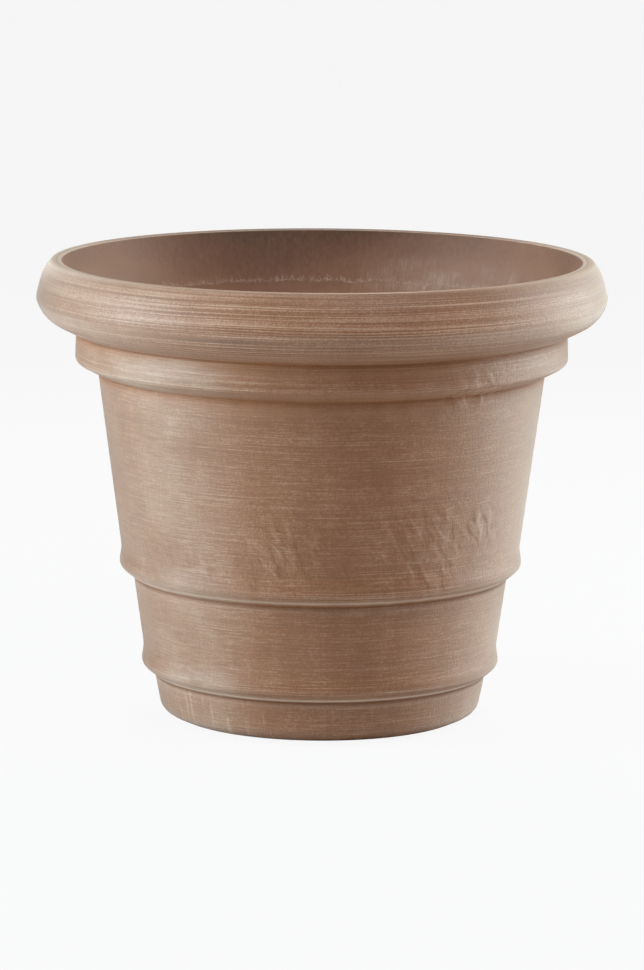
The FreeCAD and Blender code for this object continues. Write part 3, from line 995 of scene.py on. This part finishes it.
def pale_floor():
    """A matt floor that the camera sees almost as pale as the backdrop, so that only soft shadows show."""
    material, nodes, shader = new_material("pale_floor")
    nodes.tree.nodes.remove(shader)
    matt = nodes.add("ShaderNodeBsdfDiffuse", {"Color": (STAGE_TONE, STAGE_TONE, STAGE_TONE, 1)}).outputs[0]
    glow = nodes.add("ShaderNodeEmission", {"Color": (BACKDROP, BACKDROP, BACKDROP, 1)}).outputs[0]
    seen = nodes.add("ShaderNodeLightPath", {}).outputs["Is Camera Ray"]
    both = nodes.add("ShaderNodeMixShader", {0: nodes.product(seen, STAGE_GLOW), 1: matt, 2: glow}).outputs[0]
    nodes.feed(nodes.tree.nodes["Material Output"], "Surface", both)
    return material


def lay_floor():
    """The floor, flat on the ground."""
    half = STAGE_SIZE / 2
    corners = [(-half, -half, 0), (half, -half, 0), (half, half, 0), (-half, half, 0)]
    mesh = bpy.data.meshes.new("floor")
    mesh.from_pydata(corners, [], [(0, 1, 2, 3)])
    mesh.materials.append(pale_floor())
    return bpy.data.objects.new("floor", mesh)


def hang_backdrop():
    """A backdrop that the camera sees, and that gives no light."""
    world = bpy.data.worlds.new("studio")
    world.use_nodes = True
    nodes = Nodes(world.node_tree)
    background = world.node_tree.nodes["Background"]
    seen = nodes.add("ShaderNodeLightPath", {}).outputs["Is Camera Ray"]
    nodes.feed(background, "Strength", nodes.product(seen, BACKDROP))
    nodes.feed(background, "Color", (1, 1, 1, 1))
    bpy.context.scene.world = world


floor = lay_floor()
link(floor)
hang_backdrop()

# Light: soft lamps round the pot, of which those at its sides are the brightest

LAMP_DISTANCE = 1.6
LAMP_HEIGHT = 1.1
LAMP_WIDTH = 0.6
WIDE_LAMP = 1.0
LEFT_TINT = (0.85, 1.02, 1.12)
RIGHT_TINT = (0.84, 1.0, 1.04)
BACK_TINT = (1.0, 0.98, 0.92)
PLAIN_TINT = (1.0, 1.0, 1.0)


def softbox(name, azimuth, elevation, power, tint, width=LAMP_WIDTH):
    """A soft lamp facing the middle of the pot. Azimuth 0 is on the camera's side, and 90 on its right."""
    lamp = bpy.data.lights.new(name, "AREA")
    lamp.shape = "RECTANGLE"
    lamp.size = width
    lamp.size_y = LAMP_HEIGHT
    lamp.energy = power
    lamp.color = tint
    way = Vector((sin(azimuth) * cos(elevation), -cos(azimuth) * cos(elevation), sin(elevation)))
    holder = bpy.data.objects.new(name, lamp)
    holder.location = way * LAMP_DISTANCE + Vector((0, 0, TOTAL_HEIGHT * MM / 2))
    holder.rotation_mode = "QUATERNION"
    holder.rotation_quaternion = way.to_track_quat("Z", "Y")
    link(holder)


softbox("left_softbox", azimuth=-76, elevation=14, power=32, tint=LEFT_TINT)
softbox("right_softbox", azimuth=108, elevation=12, power=29, tint=RIGHT_TINT, width=WIDE_LAMP)
softbox("back_softbox", azimuth=180, elevation=45, power=14, tint=BACK_TINT)
softbox("front_softbox", azimuth=28, elevation=48, power=12.5, tint=PLAIN_TINT)

# Camera: where it stands, what it points at, and its lens, found from the pot's outline in the photograph

IMAGE_HEIGHT = 970
FOCAL_PIXELS = 5174
SENSOR = 36.0
CAMERA_DISTANCE = 3.6
CAMERA_HEIGHT = 0.7616
CAMERA_SIDE = 0.0008
AIM_HEIGHT = 0.1643
CAMERA_ROLL = 0.36

lens = bpy.data.cameras.new("camera")
lens.sensor_width = SENSOR
lens.lens = FOCAL_PIXELS / IMAGE_HEIGHT * SENSOR
camera = bpy.data.objects.new("camera", lens)
camera.location = (CAMERA_SIDE, -CAMERA_DISTANCE, CAMERA_HEIGHT)
sight = Vector((CAMERA_SIDE, 0, AIM_HEIGHT)) - camera.location
roll = Quaternion((0, 0, 1), math.radians(CAMERA_ROLL))
camera.rotation_mode = "QUATERNION"
camera.rotation_quaternion = sight.to_track_quat("-Z", "Y") @ roll
link(camera)
bpy.context.scene.camera = camera
bpy.context.scene.view_settings.view_transform = "Standard"
